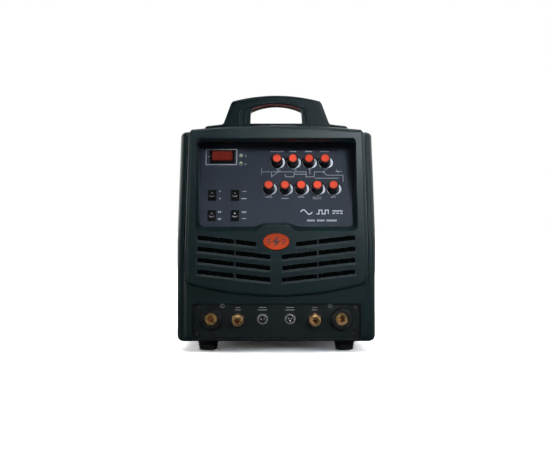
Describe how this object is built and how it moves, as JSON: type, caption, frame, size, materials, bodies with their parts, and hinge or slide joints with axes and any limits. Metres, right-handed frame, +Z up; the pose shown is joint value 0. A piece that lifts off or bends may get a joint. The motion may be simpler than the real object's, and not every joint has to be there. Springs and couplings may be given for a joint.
{
  "type": "tig welding machine",
  "caption": "Upright inverter welding power source with a leaning control panel, arched handles and front weld sockets.",
  "frame": {"origin": "on the floor, under the middle of the machine's overall length and width", "axes": "+Z up, the front with its control panel faces -Y, +X is the right-hand side seen from the front"},
  "size_m": [0.385, 0.58, 0.497],
  "materials": {
    "fascia_plastic": "fine-textured dark slate moulding",
    "panel_paint": "satin blue-grey",
    "window_red": "dark red filter",
    "bezel_plastic": "black",
    "lamp_lens": "pale green lens",
    "switch_plastic": "black",
    "rocker_plastic": "black",
    "knob_plastic": "black",
    "cap_plastic": "orange-red",
    "badge_enamel": "orange",
    "connector_paint": "near-black satin",
    "socket_plastic": "black",
    "brass": "machined",
    "socket_chrome": "bright",
    "insert_plastic": "black",
    "cover_paint": "fine-textured dark slate powder coat",
    "chassis_paint": "dark",
    "rear_paint": "dark slate powder coat",
    "foot_rubber": "black",
    "grip_rubber": "burnt orange",
    "screw_steel": "blackened zinc",
    "fan_plastic": "black",
    "grille_steel": "zinc plated",
    "breaker_plastic": "dark grey",
    "lever_plastic": "black",
    "cable_rubber": "black",
    "stud_steel": "zinc plated",
    "valve_body": "cast",
    "plunger_steel": "ground",
    "heatsink_metal": "extruded",
    "transformer_ferrite": "ferrite",
    "choke_winding": "varnished winding",
    "board_green": "circuit board",
    "pot_metal": "pressed can"
  },
  "bodies": {
    "chassis": {"badge": "badge_enamel", "base_tray": "chassis_paint", "breaker": "breaker_plastic", "connector_panel": "connector_paint", "control_board": "board_green", "control_panel": "panel_paint", "cover": "cover_paint", "display_module": "bezel_plastic", "display_window": "window_red", "earth_stud": "stud_steel", "fan_frame": "fan_plastic", "fan_grille": "grille_steel", "feet": "foot_rubber", "front_fascia": "fascia_plastic", "front_handle": "fascia_plastic", "gas_fittings": "brass", "gas_valve": "valve_body", "handle_grips": "grip_rubber", "heatsinks": "heatsink_metal", "indicator_lamps": "lamp_lens", "inverter_board": "board_green", "main_transformer": "transformer_ferrite", "mains_cable": "cable_rubber", "mid_deck": "chassis_paint", "output_choke": "choke_winding", "output_socket_bodies": "socket_plastic", "output_socket_inserts": "brass", "potentiometers": "pot_metal", "rear_fascia": "fascia_plastic", "rear_handle": "fascia_plastic", "rear_panel": "rear_paint", "remote_socket_inserts": "insert_plastic", "remote_sockets": "socket_chrome", "rocker_frames": "switch_plastic", "screws": "screw_steel"},
    "knob_1_body": {"knob_1": "knob_plastic", "knob_cap_1": "cap_plastic"},
    "knob_2_body": {"knob_2": "knob_plastic", "knob_cap_2": "cap_plastic"},
    "knob_3_body": {"knob_3": "knob_plastic", "knob_cap_3": "cap_plastic"},
    "knob_4_body": {"knob_4": "knob_plastic", "knob_cap_4": "cap_plastic"},
    "knob_5_body": {"knob_5": "knob_plastic", "knob_cap_5": "cap_plastic"},
    "knob_6_body": {"knob_6": "knob_plastic", "knob_cap_6": "cap_plastic"},
    "knob_7_body": {"knob_7": "knob_plastic", "knob_cap_7": "cap_plastic"},
    "knob_8_body": {"knob_8": "knob_plastic", "knob_cap_8": "cap_plastic"},
    "knob_9_body": {"knob_9": "knob_plastic", "knob_cap_9": "cap_plastic"},
    "rocker_1_body": {"rocker_1": "rocker_plastic"},
    "rocker_2_body": {"rocker_2": "rocker_plastic"},
    "rocker_3_body": {"rocker_3": "rocker_plastic"},
    "rocker_4_body": {"rocker_4": "rocker_plastic"},
    "fan_body": {"fan_rotor": "fan_plastic"},
    "breaker_lever_body": {"breaker_lever": "lever_plastic"},
    "plunger_body": {"valve_plunger": "plunger_steel"}
  },
  "joints": [
    {"name": "knob_1_turn", "type": "hinge", "parent": "chassis", "child": "knob_1_body", "pos_m": [-0.0147, -0.2369, 0.31629], "axis": [0, -0.9397, 0.342], "range_deg": [-150, 150]},
    {"name": "knob_2_turn", "type": "hinge", "parent": "chassis", "child": "knob_2_body", "pos_m": [0.0168, -0.2369, 0.31629], "axis": [0, -0.9397, 0.342], "range_deg": [-150, 150]},
    {"name": "knob_3_turn", "type": "hinge", "parent": "chassis", "child": "knob_3_body", "pos_m": [0.0483, -0.2369, 0.31629], "axis": [0, -0.9397, 0.342], "range_deg": [-150, 150]},
    {"name": "knob_4_turn", "type": "hinge", "parent": "chassis", "child": "knob_4_body", "pos_m": [0.0798, -0.2369, 0.31629], "axis": [0, -0.9397, 0.342], "range_deg": [-150, 150]},
    {"name": "knob_5_turn", "type": "hinge", "parent": "chassis", "child": "knob_5_body", "pos_m": [0.1113, -0.2369, 0.31629], "axis": [0, -0.9397, 0.342], "range_deg": [-150, 150]},
    {"name": "knob_6_turn", "type": "hinge", "parent": "chassis", "child": "knob_6_body", "pos_m": [0.0013, -0.21775, 0.36892], "axis": [0, -0.9397, 0.342], "range_deg": [-150, 150]},
    {"name": "knob_7_turn", "type": "hinge", "parent": "chassis", "child": "knob_7_body", "pos_m": [0.0328, -0.21775, 0.36892], "axis": [0, -0.9397, 0.342], "range_deg": [-150, 150]},
    {"name": "knob_8_turn", "type": "hinge", "parent": "chassis", "child": "knob_8_body", "pos_m": [0.0643, -0.21775, 0.36892], "axis": [0, -0.9397, 0.342], "range_deg": [-150, 150]},
    {"name": "knob_9_turn", "type": "hinge", "parent": "chassis", "child": "knob_9_body", "pos_m": [0.0958, -0.21775, 0.36892], "axis": [0, -0.9397, 0.342], "range_deg": [-150, 150]},
    {"name": "rocker_1_tip", "type": "hinge", "parent": "chassis", "child": "rocker_1_body", "pos_m": [-0.1252, -0.24258, 0.30421], "axis": [1, 0, 0], "range_deg": [0, 16]},
    {"name": "rocker_2_tip", "type": "hinge", "parent": "chassis", "child": "rocker_2_body", "pos_m": [-0.0806, -0.24258, 0.30421], "axis": [1, 0, 0], "range_deg": [0, 16]},
    {"name": "rocker_3_tip", "type": "hinge", "parent": "chassis", "child": "rocker_3_body", "pos_m": [-0.1252, -0.25708, 0.26436], "axis": [1, 0, 0], "range_deg": [0, 16]},
    {"name": "rocker_4_tip", "type": "hinge", "parent": "chassis", "child": "rocker_4_body", "pos_m": [-0.0806, -0.25708, 0.26436], "axis": [1, 0, 0], "range_deg": [0, 16]},
    {"name": "fan_spin", "type": "hinge", "parent": "chassis", "child": "fan_body", "pos_m": [0, 0.2, 0.13], "axis": [0, 1, 0], "continuous": true},
    {"name": "breaker_tip", "type": "hinge", "parent": "chassis", "child": "breaker_lever_body", "pos_m": [-0.092, 0.24, 0.325], "axis": [1, 0, 0], "range_deg": [0, 70]},
    {"name": "plunger_slide", "type": "slide", "parent": "chassis", "child": "plunger_body", "axis": [0, 0, 1], "range_m": [0, 0.003]}
  ]
}
